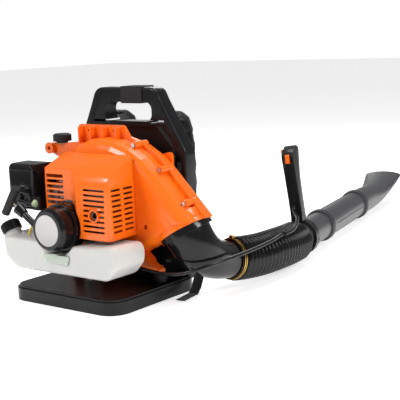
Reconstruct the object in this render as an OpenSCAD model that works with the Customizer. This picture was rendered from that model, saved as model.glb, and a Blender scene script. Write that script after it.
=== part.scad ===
// Petrol backpack leaf blower: carrying frame, fan volute, engine under its cover, fuel tank,
// bellows hose, and the blower tube with its control handle.
// Origin: centre of the base's underside. +X is the tube's side, +Y faces the wearer, +Z is up.

/* [Frame] */
// Width of the base plate
base_w = 335; // [290:1:410]
// Depth of the base plate
base_d = 304; // [300:1:380]
// Height of the base plate
base_h = 34; // [24:1:40]
// Width of the back panel
back_w = 344; // [300:1:420]
// Height of the whole frame
back_h = 482; // [440:1:580]
// Thickness of the back panel
back_t = 30; // [20:1:40]
// Width of the carrying handle's opening
grip_w = 150; // [110:1:180]
// Height of the carrying handle's opening
grip_h = 46; // [36:1:60]

/* [Fan] */
// Radius of the impeller
impeller_r = 112; // [92:1:135]
// Depth of the impeller's blades
blade_h = 70; // [50:1:75]
// Number of blades
blade_count = 14; // [8:1:20]
// Wall thickness of the volute
shell_t = 3; // [2:0.5:4]
// Depth of the volute, front to rear
volute_d = 115; // [100:1:135]
// How far the volute grows from its tongue to its outlet
scroll_growth = 102; // [80:1:125]
// Outside diameter of the volute's outlet
mouth_d = 119; // [100:1:125]

/* [Engine] */
// Bore of the cylinder
bore_d = 40; // [34:1:44]
// Stroke of the piston
stroke = 30; // [24:1:34]
// Diameter of the crankshaft's main journals
shaft_d = 12; // [10:0.5:15]
// Outside diameter of the crankcase
case_d = 92; // [84:1:100]
// Outside diameter of the recoil starter
starter_d = 110; // [100:1:118]

/* [Cover] */
// Wall thickness of the engine cover
cover_t = 3; // [2:0.5:4]
// Number of cooling slots in the cover's front
slot_count = 9; // [5:1:10]
// Height of one cooling slot
slot_h = 5; // [3:0.5:7]

/* [Tank] */
// Width of the fuel tank
tank_w = 360; // [300:1:400]
// Depth of the fuel tank
tank_d = 102; // [84:1:110]
// Diameter of the fuel cap
cap_d = 48; // [40:1:56]

/* [Hose and tube] */
// Outside diameter of the blower tube
tube_d = 78; // [66:1:86]
// Wall thickness of the blower tube
tube_t = 2; // [1.5:0.5:3]
// Outside diameter of the bellows hose over its ribs
hose_d = 106; // [96:1:122]
// Length of the swivel tube from the handle to its joint ring
swivel_len = 185; // [150:1:225]
// Length of the straight tube
straight_len = 365; // [300:1:440]
// Length of the nozzle
nozzle_len = 440; // [365:1:530]
// Height of the control handle above the tube's axis
handle_h = 246; // [205:1:296]

/* [Fits] */
// Radial clearance of a shaft or pin that turns
run_gap = 0.05; // [0.02:0.01:0.1]
// Clearance between parts that move past each other
move_gap = 0.6; // [0.4:0.1:1]
// Radial clearance of a screw in its hole
screw_gap = 0.3; // [0.1:0.1:0.5]

/* [Hidden] */
$fn = 48;

// Colours
black = "#1c1c1e";
orange = "#f26a11";
tube_grey = "#4a4b4e";
metal = "#a9abad";
tank_white = "#e9e8e2";

// Fan axis, parallel to Y; the crankshaft, reel and starter share it.
fan_x = -20;
fan_z = 178;
volute_y0 = -45;
volute_y1 = volute_y0 + volute_d;
split_y = volute_y0 + volute_d / 2;
tip_gap = 11;
scroll_r0 = impeller_r + tip_gap + shell_t;
scroll_turn = 288;
// Outlet: centre from the fan axis, and its direction below the horizontal
outlet_a = 59;
outlet_dir = [cos(outlet_a), 0, -sin(outlet_a)];
mouth_side = [sin(outlet_a), 0, cos(outlet_a)];
mouth_x = scroll_r0 + 115;
mouth_z = -13;
mouth = [fan_x + mouth_x, split_y, fan_z + mouth_z];
mouth_r = mouth_d / 2;
duct_r = mouth_r - 7.5;

// Frame
base_y1 = 125;
back_y0 = base_y1 - back_t;
foot_x = base_w / 2 - 30;
foot_y = 16;
foot_z = 63;
mount_x = 130;
mount_z = 318;
grip_z = back_h - 34 - grip_h / 2 - 1;

// Engine
case_y0 = -112;
case_y1 = -48;
bearing_w = 12;
bearing_r = shaft_d / 2 + 8;
barrel_z = fan_z + case_d / 2 + 1;
barrel_y = (case_y0 + case_y1) / 2;
head_z = barrel_z + 66;
fin_w = 64;
fin_d = 54;
shaft_y0 = -150;
starter_y0 = -187;
starter_y1 = -116;
reel_y = -166;
reel_w = 14;
rope_r = 34.7;
pull_dir = [-0.832, 0, 0.5547];
rope_lift = 33.7;

// Engine cover
cover_x0 = -101;
cover_x1 = 128;
cover_y0 = -140;
cover_y1 = volute_y0 - move_gap;
cover_z0 = 157;
cover_low_z = 208;
louvre_y = -112;
cover_top_front = 303;
cover_top_rear = 338;

// Fuel tank
tank_x1 = 165;
tank_x0 = tank_x1 - tank_w;
tank_y0 = -165;
tank_y1 = tank_y0 + tank_d;
tank_z0 = 72;
tank_z1 = 150;
neck_x = tank_x0 + 17;
neck_y = tank_y0 + 27;
neck_z = tank_z1 - 13;
neck_lean = 32;
neck_len = 30;
cap_lift = 19.5;

// Air filter
filter_x0 = -205;
filter_x1 = -128;
filter_y0 = -124;
filter_y1 = -49;
filter_z0 = 204;
filter_z1 = 314;
filter_mid = [filter_x0, (filter_y0 + filter_y1) / 2, (filter_z0 + filter_z1) / 2];

// Elbow, hose and tube
tube_r = tube_d / 2;
spigot_r = tube_r + 3;
hose_in_r = spigot_r + 1.2;
hose_r = hose_d / 2;
hose_valley_r = hose_r - 7;
elbow_end = [245, 137, 75];
elbow_dir = unit([6, 53, -7]);
ring_mid = [259, 290, 65];
ring_len = 14;
tube_start = [225, 490, 58];
tube_yaw = 13.3;
tube_pitch = -0.6;
tube_dir = [-sin(tube_yaw), cos(tube_yaw), sin(tube_pitch)];
hose_end = tube_start - 38 * tube_dir;
handle_lean = -7;
handle_ring_w = 26;
straight_y = swivel_len;
nozzle_y = swivel_len + straight_len;
tip_y = nozzle_y + nozzle_len;

// Throttle cable: its route from the carburettor side, over the elbow and along the hose
cable_r = 4.5;
cable_near_route = [[-30, -54, 112], [10, -54, 104], [50, -52, 94], [84, -44, 84],
    [118, -38, 77], [152, -34, 72], [190, -32, 70], [228, -30, 74], [262, -22, 82],
    [288, 0, 92], [303, 34, 98], [310, 80, 101], [312, 130, 103], [311, 180, 105],
    [309, 230, 108], [306, 262, 111], [304, 278, 112], [304, 289.6, 112]];
cable_far_route = [[304, 290.4, 112], [304, 308, 112], [300, 340, 114], [288, 372, 118],
    [272, 404, 121], [254, 434, 124], [236, 456, 128], [222, 470, 135], [217, 479, 145]];

function unit(v) = v / norm(v);
function mix(a, b, s) = a + (b - a) * s;
function bezier(p, s) = pow(1 - s, 3) * p[0] + 3 * s * pow(1 - s, 2) * p[1]
    + 3 * s * s * (1 - s) * p[2] + pow(s, 3) * p[3];
function bezier_dir(p, s) = unit(pow(1 - s, 2) * (p[1] - p[0])
    + 2 * s * (1 - s) * (p[2] - p[1]) + s * s * (p[3] - p[2]));

// Corner of an outline, rounded to radius r between its neighbours a and c
function corner_arc(a, b, c, r, n) =
    let (u = unit(a - b), v = unit(c - b), half = acos(u * v) / 2,
        m = b + unit(u + v) * r / sin(half),
        s = b + u * r / tan(half) - m, e = b + v * r / tan(half) - m,
        a0 = atan2(s[1], s[0]), turn = atan2(s[0] * e[1] - s[1] * e[0], s * e))
    [for (i = [0:n]) m + r * [cos(a0 + turn * i / n), sin(a0 + turn * i / n)]];
function xy(p) = [p[0], p[1]];
// Outline whose points are [x, y, corner radius]
function rounded(p, n = 6) = let (k = len(p)) [for (i = [0:k - 1])
    each (p[i][2] > 0
        ? corner_arc(xy(p[(i + k - 1) % k]), xy(p[i]), xy(p[(i + 1) % k]), p[i][2], n)
        : [xy(p[i])])];
function box_pts(x0, y0, x1, y1, r) = [[x0, y0, r], [x1, y0, r], [x1, y1, r], [x0, y1, r]];

// Ring of points round c, square to direction t, with u set by the reference direction
function ring(c, t, ref, rx, rz, sides) =
    let (u = unit(ref - (ref * t) * t), v = cross(u, t))
    [for (i = [0:sides - 1])
        c + rx * cos(360 * i / sides) * u + rz * sin(360 * i / sides) * v];
// Solid through a list of rings: closed at both ends, or joined back on itself as a pipe
module skin(rings, pipe = false) {
    n = len(rings);
    s = len(rings[0]);
    last = pipe ? n - 1 : n - 2;
    sides = [for (k = [0:last]) for (i = [0:s - 1])
        each [[k * s + i, k * s + (i + 1) % s, ((k + 1) % n) * s + i],
            [k * s + (i + 1) % s, ((k + 1) % n) * s + (i + 1) % s, ((k + 1) % n) * s + i]]];
    ends = pipe ? [] : [[for (i = [s - 1:-1:0]) i], [for (i = [0:s - 1]) (n - 1) * s + i]];
    polyhedron([for (r = rings) each r], concat(sides, ends));
}

// Flat outline in X and Z, from y0 to y1
module plate_xz(y0, y1) {
    translate([0, y1, 0]) rotate([90, 0, 0]) linear_extrude(y1 - y0) children();
}
// Flat outline in Y and Z, from x0 to x1
module plate_yz(x0, x1) {
    translate([x0, 0, 0]) rotate([90, 0, 90]) linear_extrude(x1 - x0) children();
}
module bar_y(x, z, y0, y1, r, fn = 32) {
    translate([x, y0, z]) rotate([-90, 0, 0]) cylinder(h = y1 - y0, r = r, $fn = fn);
}
module bar_x(y, z, x0, x1, r, fn = 32) {
    translate([x0, y, z]) rotate([0, 90, 0]) cylinder(h = x1 - x0, r = r, $fn = fn);
}
module box(a, b) {
    translate(a) cube(b - a);
}
module on_outlet() {
    translate(mouth) rotate([0, 90 + outlet_a, 0]) children();
}
module on_tube() {
    translate(tube_start) rotate([tube_pitch, 0, tube_yaw]) children();
}
module tube_y(y0, y1, r_out, r_in, fn = 64) {
    translate([0, y0, 0]) rotate([-90, 0, 0]) difference() {
        cylinder(h = y1 - y0, r = r_out, $fn = fn);
        translate([0, 0, -1]) cylinder(h = y1 - y0 + 2, r = r_in, $fn = fn);
    }
}

// ---- Frame ----------------------------------------------------------------------------------
panel_outline = [[-back_w / 2 + 3, base_h - 4, 0], [back_w / 2 - 3, base_h - 4, 0],
    [back_w / 2, back_h * 0.69, 34], [back_w * 0.29, back_h * 0.94, 30],
    [back_w * 0.25, back_h, 26], [-back_w * 0.30, back_h, 30],
    [-back_w * 0.36, back_h * 0.9, 40], [-back_w / 2, back_h * 0.69, 34]];

module back_frame() {
    rib = 5;
    cell = 74;
    base_y0 = base_y1 - base_d;
    color(black) difference() {
        union() {
            linear_extrude(base_h - 5) polygon(rounded(
                box_pts(-base_w / 2, base_y0, base_w / 2, base_y1, 46)));
            translate([0, 0, base_h - 5]) linear_extrude(5) polygon(rounded(
                box_pts(-base_w / 2 + 4, base_y0 + 4, base_w / 2 - 4, base_y1, 43)));
            plate_xz(back_y0, base_y1) polygon(rounded(panel_outline));
            // Flange round the panel's edge and the two bosses of the upper mounts
            difference() {
                plate_xz(back_y0 - 12, base_y1) polygon(rounded(panel_outline));
                plate_xz(back_y0 - 13, base_y1 + 1) polygon(rounded([
                    [-back_w / 2 + 27, base_h, 0], [back_w / 2 - 27, base_h, 0],
                    [back_w / 2 - 26, back_h * 0.68, 24], [grip_w / 2 + 12, back_h * 0.81, 20],
                    [-grip_w / 2 - 12, back_h * 0.81, 20], [-back_w / 2 + 26, back_h * 0.68, 24]]));
            }
            for (x = [-mount_x, mount_x]) bar_y(x, mount_z, back_y0 - 12, back_y0 + 2, 17);
        }
        // Finger opening of the carrying handle
        plate_xz(back_y0 - 20, base_y1 + 10) polygon(rounded(box_pts(-grip_w / 2,
            grip_z - grip_h / 2, grip_w / 2, grip_z + grip_h / 2, 18)));
        // Ribbed hollow under the base
        for (i = [-2:1]) for (j = [-3:1]) {
            x0 = i * cell + rib / 2;
            y0 = j * cell * 0.76 + rib / 2 - 8;
            if (y0 > base_y0 + 5 && y0 + cell * 0.76 < base_y1 && abs(x0) < base_w / 2 - 20)
                box([x0, y0, -1], [x0 + cell - rib, y0 + cell * 0.76 - rib, base_h - 8]);
        }
        for (x = [-foot_x, foot_x])
            translate([x, foot_y, -1]) cylinder(h = base_h + 2, r = 4 + screw_gap);
        for (x = [-mount_x, mount_x])
            bar_y(x, mount_z, back_y0 - 13, base_y1 + 1, 4 + screw_gap);
        for (x = [-mount_x, mount_x]) bar_y(x, mount_z, base_y1 - 9, base_y1 + 1, 10);
        // Slots for the shoulder straps
        for (x = [-86, 86]) {
            box([x - 26, back_y0 - 13, 398], [x + 26, base_y1 + 1, 404]);
            box([x - 20, back_y0 - 13, 60], [x + 20, base_y1 + 1, 66]);
        }
    }
}

module grip_sleeve() {
    z0 = grip_z + grip_h / 2;
    color("#101012") difference() {
        plate_xz(back_y0 - 15, base_y1 + 3) polygon(rounded(
            box_pts(-18, z0 - 3, 48, back_h + 3, 3)));
        box([-19, back_y0 - 12, z0], [49, base_y1, back_h]);
    }
}

module back_cushion() {
    color("#222225") plate_xz(base_y1 + 0.5, base_y1 + 22) polygon(rounded([
        [-112, 96, 30], [112, 96, 30], [104, 372, 40], [-104, 372, 40]]));
}

// Side profile of a strap: a band of thickness t along points in Y and Z
function band(p, t) = let (k = len(p),
    nrm = [for (i = [0:k - 1]) let (d = unit(p[min(i + 1, k - 1)] - p[max(i - 1, 0)]))
        [-d[1], d[0]]])
    concat([for (i = [0:k - 1]) p[i] + nrm[i] * t / 2],
        [for (i = [k - 1:-1:0]) p[i] - nrm[i] * t / 2]);
strap_x = 86;
strap_path = [[127, 412], [150, 416], [176, 402], [192, 372], [200, 330], [202, 285],
    [198, 240], [190, 204], [181, 172]];
webbing_path = [[170, 136], [164, 120], [154, 100], [140, 78], [127, 63]];

module shoulder_strap(side) {
    color("#26262a") plate_yz(side * strap_x - 27, side * strap_x + 27)
        polygon(band(strap_path, 11));
}
module shoulder_strap_left() {
    shoulder_strap(-1);
}
module shoulder_strap_right() {
    shoulder_strap(1);
}

tail_path = [[back_w / 2 + 15, 108, 54], [190, 92, 34], [194, 76, 14], [198, 58, 3.5],
    [200, 30, 2.5], [205, 2, 2.5]];
module strap_webbing() {
    n = len(tail_path) - 1;
    color("#1a1a1c") {
        for (x = [-strap_x, strap_x])
            plate_yz(x - 15, x + 15) polygon(band(webbing_path, 2.4));
        skin([for (i = [0:n])
            let (d = unit(tail_path[min(i + 1, n)] - tail_path[max(i - 1, 0)]))
            ring(tail_path[i], d, [1, 0.2, 0], 13, 1.6, 12)]);
    }
}

module strap_adjusters() {
    color(black) for (x = [-strap_x, strap_x])
        translate([x, 175, 154]) rotate([-22, 0, 0]) difference() {
            translate([-20, -5, -12]) cube([40, 10, 20]);
            for (z = [-8, 0]) translate([-16, -6, z]) cube([32, 12, 3]);
        }
}

module isolators() {
    color("#161617") {
        for (x = [-foot_x, foot_x])
            translate([x, foot_y, base_h]) difference() {
                union() {
                    cylinder(h = foot_z - base_h, r = 13);
                    translate([0, 0, 8]) cylinder(h = foot_z - base_h - 16, r = 16);
                }
                translate([0, 0, -1]) cylinder(h = 40, r = 4 + screw_gap);
            }
        for (x = [-mount_x, mount_x])
            translate([x, volute_y1, mount_z]) rotate([-90, 0, 0]) difference() {
                cylinder(h = back_y0 - 12 - volute_y1, r = 13);
                translate([0, 0, -1]) cylinder(h = 60, r = 4 + screw_gap);
            }
    }
}

module isolator_bolts() {
    color(metal) {
        for (x = [-foot_x, foot_x]) {
            translate([x, foot_y, base_h - 8]) cylinder(h = foot_z + 20 - base_h, r = 4);
            translate([x, foot_y, foot_z + 6]) cylinder(h = 5, r = 8, $fn = 6);
        }
        for (x = [-mount_x, mount_x]) {
            bar_y(x, mount_z, volute_y1 - 7, base_y1 - 5, 4);
            bar_y(x, mount_z, base_y1 - 9, base_y1 - 4, 7.5, 6);
        }
    }
}

// ---- Volute ---------------------------------------------------------------------------------
function scroll_r(t) = scroll_r0 + scroll_growth * pow(t / scroll_turn, 2);
function scroll_pt(t, d = 0) = (scroll_r(t) - d) * [cos(-40 - t), sin(-40 - t)];
mouth_out = [mouth_x, mouth_z] + mouth_r * [sin(outlet_a), cos(outlet_a)];
mouth_in = [mouth_x, mouth_z] - mouth_r * [sin(outlet_a), cos(outlet_a)];
// Outline about the fan axis, drawn in by d
function inset(p, d) = p * (1 - d / norm(p));
function scroll_outline(d) = concat(
    [for (t = [0:12:scroll_turn]) scroll_pt(t, d)], [inset(mouth_out, d), inset(mouth_in, d)]);
function scroll_ring(y, d) = [for (p = scroll_outline(d)) [fan_x + p[0], y, fan_z + p[1]]];
// Solid of the scroll from y0 to y1, whose edges are rounded by round0 and round1
module scroll_solid(y0, y1, d, round0, round1) {
    steps = 5;
    r0 = [for (i = [0:round0 > 0 ? steps : 0]) let (a = 90 * i / steps)
        round0 > 0 ? scroll_ring(y0 + round0 * (1 - cos(a)), d + round0 * (1 - sin(a)))
            : scroll_ring(y0, d)];
    r1 = [for (i = [round1 > 0 ? steps : 0:-1:0]) let (a = 90 * i / steps)
        round1 > 0 ? scroll_ring(y1 - round1 * (1 - cos(a)), d + round1 * (1 - sin(a)))
            : scroll_ring(y1, d)];
    skin(concat(r1 == [] ? [] : [for (i = [len(r1) - 1:-1:0]) r1[i]],
        [for (i = [len(r0) - 1:-1:0]) r0[i]]));
}
scroll_edge = 34;
flange_w = 9;
flange_t = 5;
top_plate_z = fan_z + scroll_r(230) + 30;
// The flange stops short of the outlet's face
flange_back = -3 * [cos(outlet_a), -sin(outlet_a)];
function flange_outline() = concat([for (t = [0:12:scroll_turn]) scroll_pt(t, -flange_w)],
    [mouth_out + flange_w * [sin(outlet_a), cos(outlet_a)] + flange_back,
    mouth_in - flange_w * [sin(outlet_a), cos(outlet_a)] + flange_back]);
// Screw bosses about the fan axis: along the scroll, beside the outlet, at the tongue
boss_r = 8.5;
boss_at = concat([for (t = [8, 56, 100, 142, 264, 287]) scroll_pt(t, -4)],
    [mix(scroll_pt(scroll_turn, -5), mouth_out, 0.66), [170, -2]]);

module scroll_bosses(y0, y1) {
    for (p = boss_at) bar_y(fan_x + p[0], fan_z + p[1], y0, y1, boss_r);
}
module scroll_flange(y0, y1) {
    plate_xz(y0, y1) translate([fan_x, fan_z]) polygon(flange_outline());
}
// What both halves leave open: the air way, its outlet and the screw holes
module scroll_hollow() {
    scroll_solid(volute_y0 + shell_t, volute_y1 - shell_t, shell_t,
        scroll_edge - shell_t, scroll_edge - shell_t);
    on_outlet() translate([0, 0, -50]) cylinder(h = 70, r = duct_r, $fn = 64);
}
module volute_half_space(front) {
    y0 = front ? volute_y0 - 60 : split_y;
    box([-400, y0, 0], [500, front ? split_y : split_y + 200, 500]);
}
module volute_body() {
    scroll_solid(volute_y0, volute_y1, 0, scroll_edge, scroll_edge);
    on_outlet() translate([0, 0, -34]) cylinder(h = 34, r = mouth_r, $fn = 64);
    on_outlet() translate([0, 0, -10]) cylinder(h = 10, r = mouth_r + 4, $fn = 64);
}

arm_x = -174;
arm_z = 340;
module volute_front() {
    color(orange) {
        difference() {
            union() {
                intersection() {
                    volute_body();
                    volute_half_space(true);
                }
                scroll_flange(split_y - flange_t, split_y);
                scroll_bosses(split_y - 28, split_y);
                // Ribbed plate on top, and the arm that carries the bump stop
                plate_xz(split_y - flange_t, split_y) polygon(rounded([
                    [-93, fan_z + 120, 0], [54, fan_z + 120, 0], [74, top_plate_z - 30, 8],
                    [54, top_plate_z, 8], [-93, top_plate_z, 8]]));
                for (x = [-78, -40, 0, 40])
                    box([x - 2, split_y - 22, top_plate_z - 46],
                        [x + 2, split_y, top_plate_z - 6]);
                plate_xz(split_y - 20, split_y) polygon(rounded([
                    [-70, arm_z + 18, 0], [-100, arm_z + 16, 8],
                    [arm_x - 6, arm_z + 8, 6], [arm_x, arm_z - 12, 10], [-120, arm_z - 34, 20],
                    [-100, arm_z - 70, 0]]));
                bar_y(arm_x, arm_z, split_y - 30, split_y, 14);
                volute_feet(split_y - 24, split_y);
            }
            scroll_hollow();
            // Crankshaft opening and the crankcase's seat
            bar_y(fan_x, fan_z, volute_y0 - 5, volute_y0 + 10, 30, 48);
            for (p = boss_at)
                bar_y(fan_x + p[0], fan_z + p[1], split_y - 40, split_y + 1, 2.5 + screw_gap);
            for (p = boss_at)
                bar_y(fan_x + p[0], fan_z + p[1], split_y - 80, split_y - 28, 5 + screw_gap);
            bar_y(arm_x, arm_z, split_y - 31, split_y + 1, 5);
            for (x = [-60, 20]) bar_y(x, top_plate_z - 14, split_y - 6, split_y + 1, 3);
            foot_holes();
        }
        // The tongue's boss stands through the air way
        difference() {
            bar_y(fan_x + 170, fan_z - 2, volute_y0 + 1, split_y, boss_r);
            bar_y(fan_x + 170, fan_z - 2, volute_y0, split_y + 1, 2.5 + screw_gap);
            bar_y(fan_x + 170, fan_z - 2, volute_y0, split_y - 28, 5 + screw_gap);
        }
    }
}

// Feet that stand on the lower mounts, with a web up to the scroll
module volute_feet(y0, y1) {
    for (s = [-1, 1]) plate_xz(y0, y1) polygon([
        [s * (foot_x + 17), foot_z], [s * (foot_x + 17), foot_z + 6],
        [fan_x + s * 118, fan_z - 62], [fan_x + s * 96, fan_z - 78], [s * (foot_x - 26), foot_z]]);
    for (s = [-1, 1]) box([s * foot_x - 17, foot_y - 17, foot_z], [s * foot_x + 17, y1, foot_z + 6]);
}
module foot_holes() {
    for (s = [-1, 1]) {
        translate([s * foot_x, foot_y, foot_z - 1]) cylinder(h = 14, r = 4 + screw_gap);
        translate([s * foot_x, foot_y, foot_z + 6]) cylinder(h = 40, r = 10);
    }
}

module volute_rear() {
    color(orange) difference() {
        union() {
            intersection() {
                volute_body();
                volute_half_space(false);
            }
            scroll_flange(split_y, split_y + flange_t);
            scroll_bosses(split_y, split_y + 16);
            // Ears that meet the upper mounts
            for (s = [-1, 1]) plate_xz(volute_y1 - 9, volute_y1) polygon(rounded([
                [s * (mount_x + 18), mount_z + 18, 10], [s * (mount_x + 18), mount_z - 18, 10],
                [fan_x + s * 96, fan_z + 70, 0], [fan_x + s * 60, fan_z + 130, 0]]));
        }
        scroll_hollow();
        // Air intake
        bar_y(fan_x, fan_z, volute_y1 - 12, volute_y1 + 1, 70, 64);
        for (p = boss_at)
            bar_y(fan_x + p[0], fan_z + p[1], split_y - 1, split_y + 30, 2.5);
        for (x = [-mount_x, mount_x])
            bar_y(x, mount_z, volute_y1 - 10, volute_y1 + 1, 4 + screw_gap);
    }
}

cover_screw_x = [-64, 72];
cover_screw_z = cover_top_rear - 18;
module housing_screws() {
    color(metal) {
        for (p = boss_at) {
            bar_y(fan_x + p[0], fan_z + p[1], split_y - 28, split_y + 14, 2.5);
            bar_y(fan_x + p[0], fan_z + p[1], split_y - 32, split_y - 28, 5);
        }
        for (x = cover_screw_x) {
            bar_y(x, cover_screw_z, cover_y1 - 20, cover_y1 - 16, 5);
            bar_y(x, cover_screw_z, cover_y1 - 17, cover_y1, 2.5);
        }
    }
}

module intake_grille() {
    color(black) translate([fan_x, volute_y1, fan_z]) rotate([-90, 0, 0]) difference() {
        union() {
            for (r = [24, 38, 52]) difference() {
                cylinder(h = 4, r = r + 2, $fn = 64);
                translate([0, 0, -1]) cylinder(h = 6, r = r - 2, $fn = 64);
            }
            difference() {
                cylinder(h = 5, r = 80, $fn = 64);
                translate([0, 0, -1]) cylinder(h = 7, r = 66, $fn = 64);
            }
            cylinder(h = 5, r = 12);
            for (a = [15:60:315]) rotate([0, 0, a]) translate([10, -2, 0.5]) cube([60, 4, 3]);
        }
        for (a = [45:90:315]) rotate([0, 0, a])
            translate([75, 0, -1]) cylinder(h = 7, r = 2.2, $fn = 24);
    }
}

module bump_stop() {
    color(black) translate([-144, split_y - 12, arm_z + 13.2]) {
        cylinder(h = 4, r = 14);
        translate([0, 0, 4]) cylinder(h = 15, r = 22.5);
        translate([0, 0, 19]) cylinder(h = 3, r1 = 22.5, r2 = 18);
    }
}

// ---- Fan and crank train --------------------------------------------------------------------
impeller_y0 = volute_y0 + 11;
blade_y0 = impeller_y0 + 3;
blade_tip_r = impeller_r - 1.2;
module impeller() {
    steps = 6;
    color("#2b2b2e") difference() {
        union() {
            bar_y(fan_x, fan_z, impeller_y0, blade_y0, impeller_r - 1, 96);
            bar_y(fan_x, fan_z, impeller_y0, impeller_y0 + 46, 17, 48);
            for (k = [0:blade_count - 1]) translate([fan_x, 0, fan_z]) rotate([0, k * 360 / blade_count, 0])
                plate_xz(impeller_y0, impeller_y0 + blade_h) polygon(concat(
                    [for (i = [0:steps]) let (r = mix(44, blade_tip_r, i / steps),
                        a = 34 * i / steps) r * [cos(a), sin(a)]],
                    [for (i = [steps:-1:0]) let (r = mix(44, blade_tip_r, i / steps),
                        a = 34 * i / steps + 2) r * [cos(a), sin(a)]]));
            for (a = [0:60:300]) translate([fan_x, 0, fan_z]) rotate([0, a, 0])
                box([14, impeller_y0, -1.5], [52, impeller_y0 + 22, 1.5]);
        }
        bar_y(fan_x, fan_z, impeller_y0 - 1, impeller_y0 + 47, shaft_d / 2, 48);
    }
}

module impeller_nut() {
    y0 = impeller_y0 + 46;
    color(metal) difference() {
        union() {
            bar_y(fan_x, fan_z, y0, y0 + 2, 14);
            bar_y(fan_x, fan_z, y0 + 2, y0 + 11, 10.5, 6);
        }
        bar_y(fan_x, fan_z, y0 - 1, y0 + 12, shaft_d / 2, 48);
    }
}

module crankshaft() {
    web_r = bore_d / 2 + 12;
    web_y0 = barrel_y - 12;
    color(metal) {
        bar_y(fan_x, fan_z, shaft_y0, barrel_y - 6, shaft_d / 2, 48);
        bar_y(fan_x, fan_z, barrel_y + 6, impeller_y0 + 60, shaft_d / 2, 48);
        for (y = [web_y0, web_y0 + 17]) intersection() {
            bar_y(fan_x, fan_z, y, y + 7, web_r, 48);
            box([fan_x - 24, y, fan_z - 40], [fan_x + 24, y + 7, fan_z + 40]);
        }
        bar_y(fan_x, fan_z + stroke / 2, web_y0, web_y0 + 24, 6);
    }
}

module main_bearings() {
    color("#c9cbcd") for (y = [case_y0, case_y1 - bearing_w])
        translate([fan_x, y, fan_z]) rotate([-90, 0, 0]) difference() {
            cylinder(h = bearing_w, r = bearing_r);
            translate([0, 0, -1]) cylinder(h = bearing_w + 2, r = shaft_d / 2 + run_gap);
        }
}

module crankcase() {
    color("#8f9194") difference() {
        union() {
            bar_y(fan_x, fan_z, case_y0, case_y1, case_d / 2, 64);
            // Flange on the volute and the deck under the cylinder
            bar_y(fan_x, fan_z, case_y1 - 4, case_y1 + 3, case_d / 2 + 12, 64);
            box([fan_x - fin_w / 2, barrel_y - fin_d / 2, fan_z],
                [fan_x + fin_w / 2, barrel_y + fin_d / 2, barrel_z]);
        }
        bar_y(fan_x, fan_z, case_y0 + bearing_w, case_y1 - bearing_w, case_d / 2 - 7, 64);
        bar_y(fan_x, fan_z, case_y0 - 1, case_y1 + 10, bearing_r, 48);
        translate([fan_x, barrel_y, fan_z]) cylinder(h = 80, r = bore_d / 2 + 1);
    }
}

module flywheel() {
    y0 = case_y0 - 20;
    color(metal) difference() {
        union() {
            bar_y(fan_x, fan_z, y0 + 4, y0 + 18, 40, 64);
            bar_y(fan_x, fan_z, y0, y0 + 18, 14);
            for (a = [0:30:330]) translate([fan_x, 0, fan_z]) rotate([0, a, 0])
                box([24, y0 - 6, -1.2], [46, y0 + 5, 1.2]);
        }
        bar_y(fan_x, fan_z, y0 - 1, y0 + 20, shaft_d / 2, 48);
    }
}

module starter_cup() {
    y0 = shaft_y0 + 1;
    color("#77797c") difference() {
        bar_y(fan_x, fan_z, y0, case_y0 - 20, 20);
        bar_y(fan_x, fan_z, y0 - 1, y0 + 8, 16);
        bar_y(fan_x, fan_z, y0, case_y0, shaft_d / 2, 48);
    }
}

module cylinder_fins(z0, z1, pitch, w, d) {
    for (z = [z0:pitch:z1])
        box([fan_x - w / 2, barrel_y - d / 2, z], [fan_x + w / 2, barrel_y + d / 2, z + 2.5]);
}
module engine_cylinder() {
    color("#9b9da0") difference() {
        union() {
            translate([fan_x, barrel_y, barrel_z]) cylinder(h = head_z - barrel_z, r = bore_d / 2 + 6);
            cylinder_fins(barrel_z, head_z - 3, 7.4, fin_w, fin_d);
            bar_x(barrel_y, fan_z + 62, fan_x - fin_w / 2 - 4, fan_x + fin_w / 2 + 4, 15);
        }
        translate([fan_x, barrel_y, barrel_z - 1]) cylinder(h = head_z - barrel_z - 7, r = bore_d / 2);
        bar_x(barrel_y, fan_z + 62, fan_x - 50, fan_x + 50, 9);
        translate([fan_x, barrel_y, head_z - 12]) cylinder(h = 20, r = 5);
    }
}

piston_z = barrel_z + 16;
module piston() {
    color("#b9bbbd") difference() {
        translate([fan_x, barrel_y, piston_z]) cylinder(h = 24, r = bore_d / 2 - run_gap);
        translate([fan_x, barrel_y, piston_z - 1]) cylinder(h = 19, r = bore_d / 2 - 4);
        bar_x(barrel_y, piston_z + 12, fan_x - 30, fan_x + 30, 4);
        for (z = [17.5, 20.8]) translate([fan_x, barrel_y, piston_z + z]) difference() {
            cylinder(h = 1.4, r = bore_d / 2 + 1);
            translate([0, 0, -1]) cylinder(h = 4, r = bore_d / 2 - 1.6);
        }
    }
}
module gudgeon_pin() {
    color(metal) difference() {
        bar_x(barrel_y, piston_z + 12, fan_x - bore_d / 2 + 2, fan_x + bore_d / 2 - 2, 4);
        bar_x(barrel_y, piston_z + 12, fan_x - bore_d / 2 + 1, fan_x + bore_d / 2 - 1, 2.4);
    }
}

module spark_plug() {
    color("#e6e6e2") translate([fan_x, barrel_y, head_z - 8]) {
        cylinder(h = 10, r = 5);
        translate([0, 0, 8]) cylinder(h = 6, r = 8, $fn = 6);
        translate([0, 0, 14]) cylinder(h = 8, r = 4.5);
    }
}
module plug_cap() {
    z0 = head_z + 8;
    color(black) difference() {
        union() {
            translate([fan_x, barrel_y, z0]) cylinder(h = 14, r = 8);
            bar_y(fan_x, z0 + 7, barrel_y, barrel_y + 34, 3.5);
        }
        translate([fan_x, barrel_y, z0 - 1]) cylinder(h = 8, r = 4.7);
    }
}

module ignition_coil() {
    x0 = fan_x + case_d / 2 + 1;
    color("#2d2d30") {
        box([x0, case_y0, 160], [x0 + 6, case_y0 + 20, 184]);
        box([x0 + 6, case_y0 + 2, 163], [x0 + 24, case_y0 + 18, 181]);
    }
}

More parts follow.
